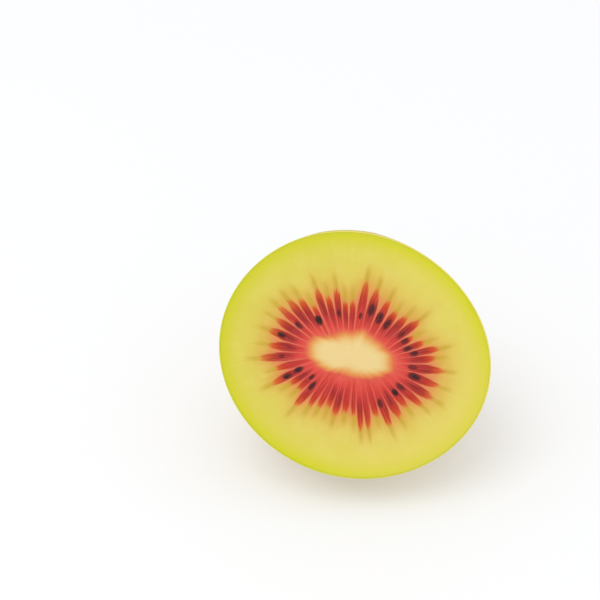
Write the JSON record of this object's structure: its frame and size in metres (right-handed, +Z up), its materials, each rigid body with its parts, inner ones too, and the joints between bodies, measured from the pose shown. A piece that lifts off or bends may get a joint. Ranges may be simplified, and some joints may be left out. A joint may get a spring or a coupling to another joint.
{
  "type": "kiwi fruit half",
  "caption": "Half of a red-fleshed kiwi fruit, cut across its middle, resting on its rounded side with the cut face looking forwards and up.",
  "frame": {"origin": "middle of the part's footprint, on the surface that the fruit rests on", "axes": "+Z up; -Y to the front, where the cut face looks; +X to the right, along the widest extent"},
  "size_m": [0.0494, 0.0428, 0.0451],
  "materials": {
    "flesh": "satin",
    "skin": "satin",
    "seed": "gloss"
  },
  "bodies": {
    "root": {"kiwi_half": "flesh"}
  },
  "joints": []
}
